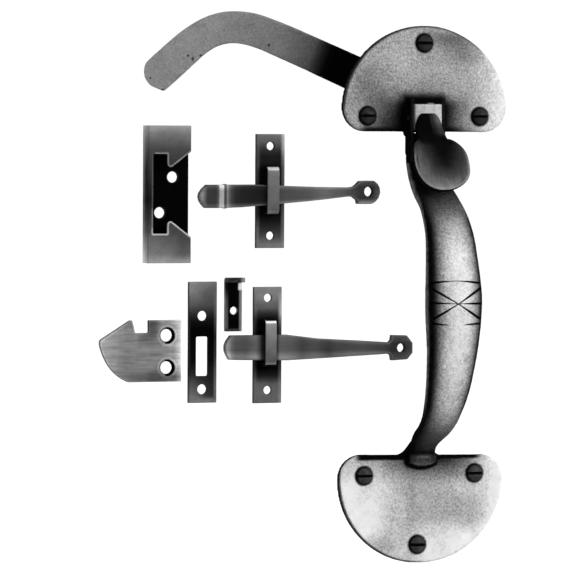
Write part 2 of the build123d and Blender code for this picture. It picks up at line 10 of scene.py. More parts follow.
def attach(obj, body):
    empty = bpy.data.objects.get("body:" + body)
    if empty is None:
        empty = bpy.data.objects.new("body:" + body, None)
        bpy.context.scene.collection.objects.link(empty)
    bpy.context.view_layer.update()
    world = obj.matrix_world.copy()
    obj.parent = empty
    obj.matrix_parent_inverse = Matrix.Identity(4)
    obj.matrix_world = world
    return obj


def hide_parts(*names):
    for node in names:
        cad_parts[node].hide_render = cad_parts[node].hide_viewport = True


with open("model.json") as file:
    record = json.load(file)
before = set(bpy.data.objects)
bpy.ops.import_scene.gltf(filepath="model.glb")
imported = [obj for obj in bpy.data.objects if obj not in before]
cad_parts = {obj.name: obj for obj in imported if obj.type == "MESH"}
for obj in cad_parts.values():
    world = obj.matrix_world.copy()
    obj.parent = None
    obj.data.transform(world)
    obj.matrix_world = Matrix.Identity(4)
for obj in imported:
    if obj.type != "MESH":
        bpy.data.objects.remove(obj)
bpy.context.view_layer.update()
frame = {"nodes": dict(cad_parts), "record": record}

NODES = frame["nodes"]
BODY = {n: b for b, ns in frame["record"]["behaviour"]["bodies"].items() for n in ns}
scene = bpy.context.scene


# ------------------------------------------------------------------ numbers
def clamp(v, lo=0.0, hi=1.0):
    return np.minimum(np.maximum(v, lo), hi)


def sstep(a, b, v):
    t = clamp((v - a) / (b - a))
    return t * t * (3 - 2 * t)


def mix(a, b, t):
    return a + (b - a) * t


def hash3(i, j, k, seed):
    h = (i.astype(np.uint64) * np.uint64(73856093)) ^ (j.astype(np.uint64) * np.uint64(19349663)) ^ (
        k.astype(np.uint64) * np.uint64(83492791)) ^ np.uint64(seed * 2654435761 % (1 << 32))
    h = (h ^ (h >> np.uint64(13))) * np.uint64(0x9E3779B97F4A7C15)
    h = h ^ (h >> np.uint64(29))
    h = h * np.uint64(0xBF58476D1CE4E5B9)
    h = h ^ (h >> np.uint64(32))
    return (h & np.uint64(0xFFFFFF)).astype(float) / float(0xFFFFFF) * 2 - 1


def vnoise(p, size, seed):
    """Smooth value noise in -1..1 with features about `size` mm across, at points p in mm."""
    q = p / size + 1000.0
    i0 = np.floor(q).astype(np.int64)
    f = q - i0
    u = f * f * (3 - 2 * f)
    out = np.zeros(len(p))
    for dx in (0, 1):
        for dy in (0, 1):
            for dz in (0, 1):
                w = (u[:, 0] if dx else 1 - u[:, 0]) * (u[:, 1] if dy else 1 - u[:, 1]) * (u[:, 2] if dz else 1 - u[:, 2])
                out += w * hash3(i0[:, 0] + dx, i0[:, 1] + dy, i0[:, 2] + dz, seed)
    return out


def lin(v):
    """Linear brightness of a display value 0..255."""
    c = np.maximum(np.asarray(v, float), 0.0) / 255.0
    return np.where(c <= 0.04045, c / 12.92, ((c + 0.055) / 1.055) ** 2.4)


def seg_dist(x, z, pts):
    """Distance in the X-Z plane to an open line through pts, and how far along it (0..1) the nearest point lies."""
    best = np.full(len(x), 1e9)
    along = np.zeros(len(x))
    total = sum(math.dist(a, b) for a, b in zip(pts, pts[1:]))
    run = 0.0
    for (ax, az), (bx, bz) in zip(pts, pts[1:]):
        dx, dz = bx - ax, bz - az
        n = math.hypot(dx, dz)
        t = clamp(((x - ax) * dx + (z - az) * dz) / (n * n))
        d = np.hypot(x - ax - t * dx, z - az - t * dz)
        hit = d < best
        best = np.where(hit, d, best)
        along = np.where(hit, (run + t * n) / total, along)
        run += n
    return best, along


def box_dist(x, z, x0, x1, z0, z1):
    return np.hypot(np.maximum(np.maximum(x0 - x, x - x1), 0), np.maximum(np.maximum(z0 - z, z - z1), 0))


# ------------------------------------------------------------------- meshes
def read(me):
    co = np.empty(len(me.vertices) * 3)
    me.vertices.foreach_get("co", co)
    no = np.empty(len(me.vertices) * 3)
    me.vertices.foreach_get("normal", no)
    return co.reshape(-1, 3) * 1000.0, no.reshape(-1, 3)


def write(me, co):
    me.vertices.foreach_set("co", (co / 1000.0).astype(np.float32).ravel())
    me.update()


def dense(node, name, voxel, smooth=2, bevel=0.0):
    """A finely and evenly meshed copy of a CAD node with its edges lightly eased. voxel in mm."""
    me = NODES[node].data.copy()
    bm = bmesh.new()
    bm.from_mesh(me)
    bmesh.ops.remove_doubles(bm, verts=bm.verts, dist=2e-6)
    bm.to_mesh(me)
    bm.free()
    ob = bpy.data.objects.new(name + "_src", me)
    scene.collection.objects.link(ob)
    rm = ob.modifiers.new("remesh", "REMESH")
    rm.mode = "VOXEL"
    rm.voxel_size = voxel / 1000.0
    rm.adaptivity = 0.0
    if smooth:
        sm = ob.modifiers.new("smooth", "SMOOTH")
        sm.factor = 0.5
        sm.iterations = smooth
    bpy.context.view_layer.update()
    dg = bpy.context.evaluated_depsgraph_get()
    new = bpy.data.meshes.new_from_object(ob.evaluated_get(dg))
    bpy.data.objects.remove(ob)
    new.materials.clear()
    for at in [a for a in new.attributes if a.name not in ("position", ".edge_verts", ".corner_vert", ".corner_edge")
               and not a.is_required and not a.name.startswith(".")]:
        try:
            new.attributes.remove(at)
        except Exception:
            pass
    out = bpy.data.objects.new(name, new)
    scene.collection.objects.link(out)
    new.name = name
    new.polygons.foreach_set("use_smooth", np.ones(len(new.polygons), bool))
    new.update()
    return out


def settle(ob, node, body=None):
    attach(ob, body or BODY[node])
    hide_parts(node)


def attr(ob, name, values):
    a = ob.data.attributes.get(name) or ob.data.attributes.new(name, "FLOAT", "POINT")
    a.data.foreach_set("value", np.asarray(values, np.float32))


# ---------------------------------------------------------------- materials
def new_mat(name):
    m = bpy.data.materials.new(name)
    m.use_nodes = True
    nt = m.node_tree
    nt.nodes.clear()
    return m, nt


def iron(name, grain=520.0, grain_amt=0.28, fine=1500.0, fine_amt=0.1, pits=0.0, pit_scale=260.0, stretch=(1, 1, 1),
         rough=0.5, rough_dark=0.6, metallic=0.15, spec=0.25, edge=0.0, edge_tone=0.25, bump=0.0, default=0.2, gain=1.0,
         warm=0.0):
    """Metal whose brightness is the piece's 'tone' attribute, which holds its colour together with painted light and
    shade, broken up by grain, pits and bare edges.
    """
    m, nt = new_mat(name)
    N, L = nt.nodes, nt.links

    def node(kind, **kw):
        n = N.new(kind)
        for k, v in kw.items():
            setattr(n, k, v)
        return n

    def math_(op, a, b=None, c=None, clampit=False):
        n = node("ShaderNodeMath", operation=op, use_clamp=clampit)
        for i, v in enumerate((a, b, c)):
            if v is None:
                continue
            if isinstance(v, (int, float)):
                n.inputs[i].default_value = v
            else:
                L.new(v, n.inputs[i])
        return n.outputs[0]

    out = node("ShaderNodeOutputMaterial")
    bsdf = node("ShaderNodeBsdfPrincipled")
    L.new(bsdf.outputs[0], out.inputs[0])
    tc = node("ShaderNodeTexCoord")
    mp = node("ShaderNodeMapping")
    mp.inputs["Scale"].default_value = stretch
    L.new(tc.outputs["Object"], mp.inputs["Vector"])
    tone = node("ShaderNodeAttribute", attribute_name="tone", attribute_type="GEOMETRY").outputs["Fac"]
    n1 = node("ShaderNodeTexNoise")
    n1.inputs["Scale"].default_value = grain
    n1.inputs["Detail"].default_value = 3.0
    n1.inputs["Roughness"].default_value = 0.6
    L.new(mp.outputs[0], n1.inputs["Vector"])
    n2 = node("ShaderNodeTexNoise")
    n2.inputs["Scale"].default_value = fine
    n2.inputs["Detail"].default_value = 2.0
    L.new(mp.outputs[0], n2.inputs["Vector"])
    g = math_("ADD", math_("MULTIPLY", math_("SUBTRACT", n1.outputs["Fac"], 0.5), grain_amt * 4.0),
              math_("MULTIPLY", math_("SUBTRACT", n2.outputs["Fac"], 0.5), fine_amt * 4.0))
    calm = math_("MINIMUM", math_("MAXIMUM", math_("SUBTRACT", 1.45, math_("MULTIPLY", tone, 1.25)), 0.15), 1.0)
    g = math_("MAXIMUM", math_("ADD", math_("MULTIPLY", g, calm), 1.0), 0.15)
    col = math_("MULTIPLY", math_("MULTIPLY", tone, gain), g)
    if pits > 0:
        v = node("ShaderNodeTexVoronoi", feature="F1")
        v.inputs["Scale"].default_value = pit_scale
        L.new(tc.outputs["Object"], v.inputs["Vector"])
        pn = node("ShaderNodeTexNoise")
        pn.inputs["Scale"].default_value = pit_scale * 0.45
        L.new(tc.outputs["Object"], pn.inputs["Vector"])
        pit = math_("MULTIPLY", math_("LESS_THAN", v.outputs["Distance"], 0.2), math_("GREATER_THAN", pn.outputs["Fac"], 0.58))
        col = math_("MULTIPLY", col, math_("SUBTRACT", 1.0, math_("MULTIPLY", pit, pits)))
    if edge > 0:
        geo = node("ShaderNodeNewGeometry")
        e = math_("MULTIPLY", math_("SUBTRACT", geo.outputs["Pointiness"], 0.515), 1.0 / 0.06, clampit=True)
        e = math_("MULTIPLY", e, edge)
        col = math_("ADD", math_("MULTIPLY", col, math_("SUBTRACT", 1.0, e)), math_("MULTIPLY", e, edge_tone))
    comb = node("ShaderNodeCombineColor")
    for i, k in enumerate((1.0 + warm, 1.0, 1.0 - warm)):
        L.new(math_("MULTIPLY", col, k), comb.inputs[i])
    L.new(comb.outputs[0], bsdf.inputs["Base Color"])
    r = math_("ADD", rough_dark, math_("MULTIPLY", clampit=False, a=math_("MINIMUM", math_("MULTIPLY", tone, 3.0), 1.0), b=rough - rough_dark))
    r = math_("ADD", r, math_("MULTIPLY", math_("SUBTRACT", n1.outputs["Fac"], 0.5), 0.25))
    L.new(r, bsdf.inputs["Roughness"])
    bsdf.inputs["Metallic"].default_value = metallic
    L.new(math_("MULTIPLY", math_("MINIMUM", math_("MULTIPLY", tone, 9.0), 1.0), spec), bsdf.inputs["Specular IOR Level"])
    if bump > 0:
        b = node("ShaderNodeBump")
        b.inputs["Strength"].default_value = bump
        b.inputs["Distance"].default_value = 0.0002
        L.new(n1.outputs["Fac"], b.inputs["Height"])
        L.new(b.outputs[0], bsdf.inputs["Normal"])
    return m


GAIN = 1.0
M_PLATE = iron("plate_iron", grain=700, grain_amt=0.66, fine=1600, fine_amt=0.3, pits=0.18, pit_scale=250, rough=0.62,
               rough_dark=0.6, metallic=0.1, spec=0.12, edge=0.0, bump=0.25, gain=GAIN)
M_DARK = iron("dark_iron", grain=300, grain_amt=0.16, fine=900, fine_amt=0.08, rough=0.42, rough_dark=0.42, metallic=0.1,
              spec=0.3, edge=0.0, bump=0.1, gain=GAIN)
M_TAIL = iron("tail_iron", grain=800, grain_amt=0.3, fine=1600, fine_amt=0.18, pits=0.8, pit_scale=200, rough=0.55,
              rough_dark=0.7, metallic=0.1, spec=0.1, bump=0.2, gain=GAIN)
M_STEEL = iron("fitting_steel", grain=260, grain_amt=0.12, fine=900, fine_amt=0.07, stretch=(1, 1, 1), rough=0.48,
               rough_dark=0.6, metallic=0.1, spec=0.12, bump=0.08, gain=GAIN)
M_BRUSHED = iron("fitting_steel_brushed", grain=520, grain_amt=0.12, fine=1500, fine_amt=0.08, stretch=(0.06, 1, 1),
                 rough=0.45, rough_dark=0.6, metallic=0.1, spec=0.12, bump=0.08, gain=GAIN)
M_SCREW = iron("screw_steel", grain=420, grain_amt=0.2, fine=1100, fine_amt=0.1, rough=0.45, rough_dark=0.5, metallic=0.1,
               spec=0.25, edge=0.0, bump=0.1, gain=GAIN)
M_PIN = iron("pin_steel", grain=300, grain_amt=0.1, fine=1200, fine_amt=0.08, stretch=(1, 1, 0.2), rough=0.35,
             rough_dark=0.45, metallic=0.5, spec=0.3, bump=0.05, gain=GAIN)

# ---------------------------------------------------------- handle casting
# centre line of the grip: y, z, width, thickness
GRIP = np.array([
    (-6.6, -17.0, 25.6, 10.2), (-6.9, -27.0, 25.4, 10.2), (-9.6, -37.5, 25.0, 10.6), (-18.2, -48.5, 25.6, 10.6),
    (-30.6, -58.0, 27.6, 10.0), (-40.2, -68.5, 30.8, 9.4), (-46.8, -82.5, 33.4, 9.8), (-50.4, -100.0, 35.8, 11.4),
    (-52.5, -118.0, 37.4, 12.6), (-52.4, -134.0, 36.6, 12.5), (-50.6, -153.0, 33.8, 11.2), (-45.4, -175.0, 30.3, 10.0),
    (-37.8, -191.5, 26.4, 9.5), (-28.6, -203.0, 22.9, 9.4), (-20.4, -208.8, 20.8, 9.2), (-12.0, -214.0, 19.2, 8.6),
    (-6.6, -219.4, 17.8, 7.6), (-4.4, -226.0, 18.6, 6.6), (-4.2, -231.0, 20.0, 6.4)])


def grip_frame(co):
    """For each point: share along the grip 0..1, signed distance in front of its centre line, local width, thickness and the front direction."""
    s = np.concatenate([[0], np.cumsum(np.hypot(np.diff(GRIP[:, 0]), np.diff(GRIP[:, 1])))])
    t = np.linspace(0, s[-1], 420)
    c = np.stack([np.interp(t, s, GRIP[:, k]) for k in range(4)], 1)
    d = np.gradient(c[:, :2], axis=0)
    d /= np.linalg.norm(d, axis=1)[:, None]
    for _ in range(6):
        d[1:-1] = (d[:-2] + 2 * d[1:-1] + d[2:]) / 4
    front = np.stack([d[:, 1], -d[:, 0]], 1)      # turned a quarter towards -y when the line runs down
    idx = np.empty(len(co), int)
    for a in range(0, len(co), 20000):
        q = co[a:a + 20000, 1:3]
        idx[a:a + 20000] = np.argmin((q[:, None, 0] - c[None, :, 0]) ** 2 + (q[:, None, 1] - c[None, :, 1]) ** 2, axis=1)
    off = co[:, 1:3] - c[idx, :2]
    f = front[idx]
    k = sstep(-38.5, -48.5, co[:, 2]) * sstep(-214, -208.8, co[:, 2])     # the bowed part leans to the right
    return idx / 419.0, (off * f).sum(1), c[idx, 2] + 0.5 * k, c[idx, 3], f, 0.6 * k


ENGRAVE = [
    ([(-17.5, -108.4), (-9, -107.6), (-0.6, -107.2), (8, -107.6), (16.5, -108.6)], "mid"),
    ([(-16.7, -112.8), (1.0, -122.4), (16.9, -132.2)], "all"),
    ([(17.1, -112.3), (1.0, -122.4), (-16.5, -132.0)], "all"),
    ([(-18.4, -121.6), (-0.5, -122.2), (17.8, -122.2)], "mid"),
    ([(-17.8, -135.0), (-8.3, -136.1), (-0.5, -136.4), (5.7, -136.2), (16.9, -135.4)], "gap"),
]


def engraving(x, z):
    """Depth share 0..1 of the cut pattern across the front of the grip."""
    out = np.zeros(len(x))
    for pts, how in ENGRAVE:
        d, t = seg_dist(x, z, pts)
        c = np.abs(t - 0.5) * 2
        if how == "mid":
            k = mix(0.3, 1.0, sstep(0.1, 0.75, c))
            hw = mix(0.4, 0.85, sstep(0.2, 0.85, c))
        elif how == "gap":
            k = sstep(0.22, 0.75, c)
            hw = mix(0.45, 0.8, sstep(0.3, 0.85, c))
        else:
            k = mix(0.45, 1.0, sstep(0.02, 0.45, c))
            hw = mix(0.5, 0.98, sstep(0.1, 0.8, c))
        out = np.maximum(out, k * clamp(1 - d / hw))
    return out


def casting():
    ob = dense("handle_casting", "casting_skin", 0.72, 3)
    me = ob.data
    bm = bmesh.new()
    bm.from_mesh(me)
    pick = set()
    for f in bm.faces:
        c = f.calc_center_median() * 1000
        if -139.5 < c.z < -104.5 and c.y < -50 and f.normal.y < -0.25:
            pick.add(f)
    edges = list({e for f in pick for e in f.edges})
    bmesh.ops.subdivide_edges(bm, edges=edges, cuts=2, use_grid_fill=True)
    bmesh.ops.triangulate(bm, faces=[f for f in bm.faces if len(f.verts) > 4])
    bm.to_mesh(me)
    bm.free()
    me.update()
    me.polygons.foreach_set("use_smooth", np.ones(len(me.polygons), bool))
    co, no = read(me)
    x, y, z = co.T
    s, off, w, t, f, lean = grip_frame(co)
    half = w / 2
    on_grip = sstep(-9.5, -13.5, y) * sstep(-36, -44, z) * sstep(-219, -213, z)
    u = clamp(x / half, -1.05, 1.05)
    # the grip's face is crowned from side to side
    depth = np.interp(z, [-215, -190, -150, -120, -80, -60, -40], [0.4, 0.6, 0.8, 0.9, 0.8, 0.6, 0.3])
    share = clamp(0.5 + off / t)
    push = depth * np.abs(u) ** 2.6 * share * on_grip
    co[:, 1] -= f[:, 0] * push
    co[:, 2] -= f[:, 1] * push
    # sand-cast surface: shallow waviness and grain, kept off the slot's walls, the back and the pivot
    keep = sstep(-0.6, -1.6, y) * np.where((np.abs(x) < 14.5) & (z > -26) & (z < 14), 0.0, 1.0)
    for hx, hz in ((-41.2, 1.2), (41.2, 1.2), (0.0, 50.0), (-42.2, -238.5), (39.0, -238.5), (-3.0, -285.5)):
        keep *= sstep(5.6, 8.0, np.hypot(x - hx, z - hz))
    n = 0.16 * vnoise(co, 13.0, 3) + 0.05 * vnoise(co, 4.2, 5) + 0.055 * vnoise(co, 1.7, 7)
    co += no * (n * keep)[:, None]
    cut = engraving(x, z) * (no[:, 1] < -0.2) * (y < -50)
    co += np.stack([np.zeros(len(co)), f[:, 0], f[:, 1]], 1) * (-0.75 * cut)[:, None]
    write(me, co)

    # ---- tone, worked out as display values 0..255, with light and shade painted in
    # upper plate
    rim_u = (1 - np.hypot((x - 1.3) / 60.0, (z - 3.6) / 58.0)) * 59.0
    # painted shade round the housing, fading out across the plate
    dx = np.where(x < 0, -13.2 - x, x - 13.2)
    dxl = np.maximum(dx, 0)
    wide = np.hypot(dxl / mix(27.0, 36.0, sstep(6, -6, x)), np.maximum(z - 7.0, 0) / mix(11.0, 19.0, sstep(-6, -22, x)))
    up = 172 * sstep(0.0, 1.0, wide) ** mix(0.55, 0.7, sstep(6, -6, x)) * sstep(-1.0, 7.0, box_dist(x, z, -13.2, 13.2, -40, 13.0)) ** 0.6
    # painted light and shade patches across the plate
    up -= 44 * np.exp(-(((x + 41) / 14) ** 2 + ((z - 20) / 13) ** 2))
    up += 34 * np.exp(-(((x + 22) / 7) ** 2 + ((z - 13) / 7) ** 2))
    up -= 26 * np.exp(-(((x + 1) / 16) ** 2 + ((z - 19) / 6) ** 2))
    up -= 10 * np.exp(-(((x - 22) / 9) ** 2 + ((z - 10) / 9) ** 2))
    up -= 30 * np.exp(-(((x + 31) / 9) ** 2 + ((z + 4) / 6) ** 2))
    up -= 60 * np.exp(-(((x - 19) / 17) ** 2 + ((z - 54) / 6.5) ** 2))
    up -= 34 * np.exp(-(((x - 30) / 12) ** 2 + ((z - 44) / 7) ** 2))
    up += 16 * np.exp(-(((x + 16) / 14) ** 2 + ((z - 42) / 12) ** 2))
    # painted highlight: the right side and lower right fade to white
    up = mix(up, 248, sstep(28, 58, x) ** 1.15 * sstep(70, 30, z))
    up = mix(up, 250, sstep(34, 52, x) * sstep(1, -8, z) * 0.8)
    # painted highlight just inside the rim, painted shade along the rim's edge
    up = mix(up, np.maximum(up, 160), sstep(5.5, 2.2, rim_u) * sstep(-2, 6, z) * sstep(30, 10, x))
    up = mix(up, 45, sstep(1.7, 0.6, rim_u) * sstep(-4, 8, z) * sstep(46, 36, x) * 0.75)
    # painted shade along the plate's bottom edge, under the housing
    up = mix(up, 12, sstep(-4.5, -8.2, z) * sstep(-50, -40, x) * sstep(44, 22, x) * mix(0.97, 0.25, sstep(16, 34, x)))
    # lower plate
    # painted light: brighter towards both sides, fading to white, with a painted light patch right of the grip
    base = np.interp(x, [-60, -46, -40, -33, -27, -20, -13.6, -7, 0, 12.7, 26, 32, 39, 45.5, 52, 60],
                     [252, 250, 248, 246, 224, 204, 190, 170, 174, 169, 177, 180, 187, 210, 243, 252])
    base += 30 * np.exp(-(((x - 30) / 13) ** 2 + ((z + 248) / 6) ** 2))
    # painted shade below the top edge, round the grip's foot
    wx = np.interp(x, [-60, -46, -30, -14, 0, 20, 28, 36, 42, 60], [0.35, 0.48, 0.68, 0.9, 1, 1, 0.85, 0.5, 0.1, 0.0])
    lo = base - 122 * wx * sstep(-250, -227.5, z) ** 1.35
    # painted light towards the bottom, and a painted shade patch at lower left
    lo += 72 * sstep(-266, -283, z) * sstep(-13, 4, x)
    lo += 16 * sstep(-268, -282, z) * sstep(4, -13, x)
    lo -= 76 * np.exp(-(((x + 31) / 10.5) ** 2 + ((z + 285.5) / 8.5) ** 2))
    # painted shadow round the grip's foot
    footd = np.hypot(np.maximum(np.abs(x + 0.65) - 11.2, 0), np.maximum(-234.2 + 0.024 * (x + 0.65) ** 2 - z, 0))
    lo = mix(12, lo, sstep(0.2, 2.6, footd) ** 0.8)
    # painted shade along the plate's top edge
    lo = mix(lo, 8, sstep(-229.2, -227.5, z) * sstep(-50, -44, x) * sstep(46, 38, x))
    # painted shade along the rim's edge on the left
    rim_l = (1 - np.hypot(x / 60.3, (z + 240.6) / 57.4)) * 58.8
    lo = mix(lo, 30, sstep(1.5, 0.5, rim_l) * sstep(10, -10, x) * 0.8)
    # grip: painted light and shade across its crowned face, dark at both edges and brightest in the middle, with
    # painted shade under the thumb pad and towards the foot
    v = clamp((u + 1) / 2)
    pr = np.interp(v, [0, 0.05, 0.09, 0.13, 0.2, 0.3, 0.4, 0.5, 0.61, 0.71, 0.82, 0.91, 0.965, 1.0],
                   [8, 16, 42, 82, 144, 200, 226, 243, 246, 237, 204, 126, 36, 18])
    flat = np.interp(v, [0, 0.1, 0.3, 0.6, 1.0], [62, 104, 158, 200, 205])
    amp = np.interp(z, [-226, -216, -210, -203, -187, -173, -150, -90, -80, -67.5, -61, -54, -46, -36],
                    [0.14, 0.37, 0.47, 0.71, 0.91, 0.98, 1.0, 0.97, 0.86, 0.67, 0.48, 0.39, 0.2, 0.1])
    g = amp * mix(flat, pr, sstep(-212, -188, z) * sstep(-56, -72, z))
    # painted shade in the engraved cuts
    g = mix(g, 4, clamp(cut * 3.0))
    # painted light and shade on the faces turned away from the front: lighter at the front of the left side, dark
    # towards the back and the foot
    side = mix(40, mix(118, 12, sstep(-0.1, 0.36, off / t)) + 24 * vnoise(co, 2.4, 24), sstep(-0.15, -0.5, no[:, 0]))
    side = mix(side, 16, sstep(-182, -203, z))
    g = mix(side, g, sstep(0.25, 0.62, (no[:, 1] * f[:, 0] + no[:, 2] * f[:, 1])))
    # foot and housing, with painted light and shade
    # painted highlights along the foot's rounded end
    ft = mix(66, 44, sstep(3, 9, np.abs(x + 0.5))) + 30 * np.exp(-((z + 226.6) / 0.8) ** 2) * sstep(7, 1, np.abs(x - 0.5))
    ft += 26 * np.exp(-((z + 231.6 - 0.02 * x * x) / 0.7) ** 2) * sstep(10, 6, np.abs(x))
    # painted shade round the foot and on its faces turned down
    ft = mix(8, ft, sstep(-223.4, -226.2, z) * sstep(-10.9, -9.6, x) * sstep(10.2, 8.6, x))
    ft = np.where(no[:, 2] < -0.45, 8, ft)
    # the housing is dark; its slot walls painted lit where turned right and shaded where turned left
    hs = np.where((np.abs(x) < 12.6) & (np.abs(x) > 10.2) & (y < -9.5) & (no[:, 1] < -0.3), 22, 8.0)
    hs = np.where((np.abs(x) < 10.9) & (no[:, 0] > 0.5), 88, hs)
    hs = np.where((np.abs(x) < 10.9) & (no[:, 0] < -0.5), 60, hs)
    is_plate_u = (z > -9.4) & (y > -5.0) & (np.abs(x) > 12.9) | (z > 13.2)
    is_plate_l = (z < -224.2) & (y > -4.9)
    disp = mix(hs, g, sstep(-25, -30, z) * sstep(-11.2, -12.6, y) + 0 * z)
    disp = np.where((z < -30), g, disp)
    disp = mix(disp, ft, sstep(-221, -225, z) * (y < -4.6))
    # painted light: the lighter parts of the lower plate lifted further
    lo = np.where(lo > 60, 255 * (np.clip(lo, 0, 255) / 255) ** 0.86, lo)
    disp = np.where(is_plate_l, lo, disp)
    disp = np.where(is_plate_u, up, disp)
    # painted light: the lower plate made brighter than the upper one; the grip a little darker towards the bottom
    tone = lin(disp) * np.where(is_plate_l, 1.06, np.where(is_plate_u, 0.99, mix(1.0, 0.97, sstep(-80, -190, z))))
    # painted shade on the plates' edge faces turned left, painted light on those turned right
    edge_face = (no[:, 1] > -0.35) & (y > -4.5) & (is_plate_u | is_plate_l)
    tone = np.where(edge_face, np.where(no[:, 0] < 0.2, 0.012, 0.3), tone)
    tone = np.where(y > -0.8, 0.05, tone)
    # painted shade: black rings round the screw heads in the plates' screw seats
    for hx, hz in ((-41.2, 1.2), (41.2, 1.2), (0.0, 50.0), (-42.2, -238.5), (39.0, -238.5), (-3.0, -285.5)):
        tone *= mix(0.03, 1.0, sstep(6.3, 7.5, np.hypot(x - hx, z - hz)))
    cloud = 1 + 0.13 * vnoise(co, 8.0, 21) + 0.1 * vnoise(co, 3.2, 22) + 0.1 * vnoise(co, 1.5, 23)
    attr(ob, "tone", np.maximum(tone * cloud, 0.002))
    me.materials.append(M_PLATE)
    settle(ob, "handle_casting")
    return ob


casting()


# ------------------------------------------------------------- thumb press
PAD_RIM = [(-13.8, -16.2), (-16.8, -12.2), (-18.1, -7.2), (-18.8, -0.8), (-18.6, 5.4), (-17.2, 10.7), (-14.4, 15.3),
           (-10.2, 18.6), (-5.0, 20.5), (-0.4, 20.7), (4.4, 20.0), (9.4, 18.2), (13.4, 15.9), (16.4, 13.2), (18.6, 9.4),
           (19.9, 4.2), (20.2, -1.6), (19.6, -6.7), (17.6, -11.2), (15.1, -14.1), (12.0, -16.3)]


def press():
    ob = dense("thumb_press", "thumb_press_skin", 0.42, 3)
    me = ob.data
    co, no = read(me)
    x, y, z = co.T
    # soft fullness on the neck and a worn rim on the pad, away from the slot's walls
    free = sstep(-14, -18, y)
    co += no * (0.12 * vnoise(co, 9.0, 31) * free)[:, None]
    write(me, co)
    # painted shade in the pad's dish, darkest at the top middle by the neck, lighter towards its sides and bottom
    zc = [-60, -46, -43, -37.5, -31, -25, -18, -14]
    mid = np.interp(z, zc, [135, 130, 104, 58, 24, 10, 5, 3])
    left = np.interp(z, zc, [128, 124, 112, 98, 88, 72, 50, 30])
    right = np.interp(z, zc, [118, 108, 92, 86, 90, 84, 76, 40])
    disp = mix(mid, np.where(x < 4, left, right), clamp(np.abs(x - 4) / 18.0) ** 1.5)
    # the pad's rim, from its own outline: a painted highlight along it and painted shade on its edge face
    tilt = math.radians(27.0)
    along = -((y + 32) * math.sin(tilt) + (z + 29) * math.cos(tilt))
    ht = -(y + 32) * math.cos(tilt) + (z + 29) * math.sin(tilt)
    rd, _ = seg_dist(x, -along, [(px, -pv) for px, pv in PAD_RIM])
    lip = (along > -13.5)
    disp = mix(disp, np.where(x < 6, 138, 120), sstep(1.3, 0.6, rd) * lip * sstep(-10, 6, along + 4))
    disp = np.where((ht < -0.42) & lip & (rd < 2.6), 2, disp)
    # neck: painted shade on the left flank, a dimly lit right flank, darker towards the pad
    neck = sstep(-11.6, -12.4, y) * sstep(-19, -14, z) * sstep(14, 10, np.abs(x))
    flank = np.where(x < -0.4, 2, mix(34, 82, sstep(0, 7, x)) * mix(1.0, 0.6, sstep(-2, -9, z)) * sstep(12.5, 9.5, x))
    flank = mix(flank, 2, sstep(-9, -14, z))
    disp = mix(disp, flank, neck)
    # the hub's bright machined face, with painted shade towards its left edge and bottom and painted light towards the
    # right
    hub = (y < -10.2) & (y > -11.7) & (np.abs(x) < 10.6) & (no[:, 1] < -0.5)
    disp = np.where(hub & (z > -10), (184 + 22 * sstep(4, 9.5, x) - 14 * sstep(-4, -8, x) - 90 * sstep(-8.6, -9.6, x)) * sstep(-9.0, -7.0, z), disp)
    disp = np.where((y > -10.2) & (y < 0.2), 60, disp)
    # painted shade inside the housing below the hub
    disp = np.where((z < -8.4) & (y > -12), 0, disp)
    tone = lin(disp) * 1.05
    tone = np.where(y > 0.2, 0.06, tone)
    streak = vnoise(co * np.array([1.0, 0.12, 0.12]), 0.9, 35)      # fine lines down the pad
    tone *= 1 + 0.12 * vnoise(co, 5.0, 33) + 0.14 * vnoise(co, 1.4, 34) + 0.16 * streak
    attr(ob, "tone", np.maximum(tone, 0.003))
    me.materials.append(M_DARK)
    settle(ob, "thumb_press")


press()


# ----------------------------------------------------------------- tail bar
def tail():
    ob = dense("tail_bar", "tail_bar_skin", 0.6, 2)
    me = ob.data
    co, no = read(me)
    x, y, z = co.T
    a = math.radians(48.0)
    s = -x * math.sin(a) + (y - 14) * math.cos(a)
    co += no * ((0.05 * vnoise(co, 1.8, 41) + 0.12 * vnoise(co, 12, 42)) * sstep(12, 20, s))[:, None]
    write(me, co)
    # painted shadow: black next to the plate, lightening along the tail
    q = s + 0.32 * (z - 10 - 0.42 * s)
    tone = lin(np.interp(q, [0, 56, 61, 66, 72, 80, 95, 110, 123, 140, 200], [1, 1, 5, 30, 66, 82, 102, 106, 112, 120, 125])) / 0.43
    tone *= 1 + 0.12 * vnoise(co, 9.0, 43) + 0.1 * vnoise(co, 2.6, 44)
    attr(ob, "tone", np.maximum(tone, 0.0015))
    me.materials.append(M_TAIL)
    settle(ob, "tail_bar")


tail()


# ------------------------------------------------------------------- screws
def screws(node, seats, name):
    ob = dense(node, name, 0.3, 1)
    me = ob.data
    co, no = read(me)
    x, y, z = co.T
    r = np.full(len(co), 1e9)
    for hx, hz in seats:
        r = np.minimum(r, np.hypot(x - hx, z - hz))
    head = y < -4.4
    # painted shade towards the edge of each head
    tone = np.where(head, mix(0.05 if "lower" in node else 0.03, 0.003, sstep(4.4, 6.0, r)), 0.12)
    dz = np.full(len(co), 1e9)
    for hx, hz in seats:
        hit = np.hypot(x - hx, z - hz) < 7
        dz = np.where(hit, np.abs(z - hz), dz)
    # painted shade in the screw slots
    tone = np.where(head & (dz < 1.0), 0.003, tone)
    tone *= 1 + 0.35 * vnoise(co, 2.6, 51)
    attr(ob, "tone", np.maximum(tone, 0.003))
    me.materials.append(M_SCREW)
    settle(ob, node)


screws("upper_plate_screws", [(-41.2, 1.2), (41.2, 1.2), (0.0, 50.0)], "upper_screws_skin")
screws("lower_plate_screws", [(-42.2, -238.5), (39.0, -238.5), (-3.0, -285.5)], "lower_screws_skin")


